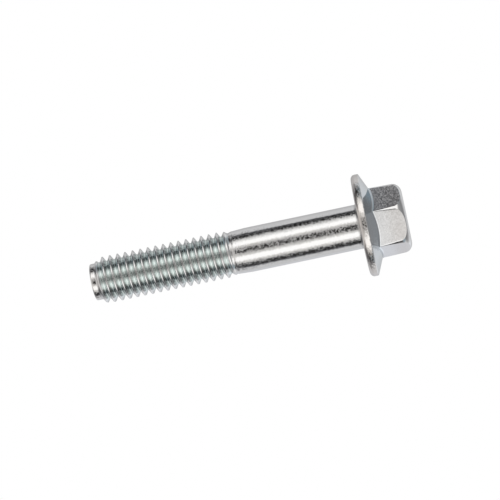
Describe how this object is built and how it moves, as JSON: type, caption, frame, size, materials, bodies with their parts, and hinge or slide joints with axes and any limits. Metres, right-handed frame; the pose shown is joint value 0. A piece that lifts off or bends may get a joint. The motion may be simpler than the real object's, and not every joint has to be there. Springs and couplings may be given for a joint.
{
  "type": "hexagon flange bolt",
  "caption": "Bright zinc-plated hexagon bolt with a built-on round flange, a plain reduced shank and a partial right-hand thread, for clamping parts without a separate washer.",
  "frame": {"origin": "centre of the flat end of the head, on the bolt's axis, where the bolt stands", "axes": "+Z along the axis, from the head to the tip of the thread; two of the hexagon's flats face along +Y and -Y"},
  "size_m": [0.0132, 0.0132, 0.041],
  "materials": {
    "zinc_plate": "bright zinc plate with a clear, faintly blue passivation, over cold-forged steel"
  },
  "bodies": {
    "root": {"flange_bolt": "zinc_plate"}
  },
  "joints": []
}
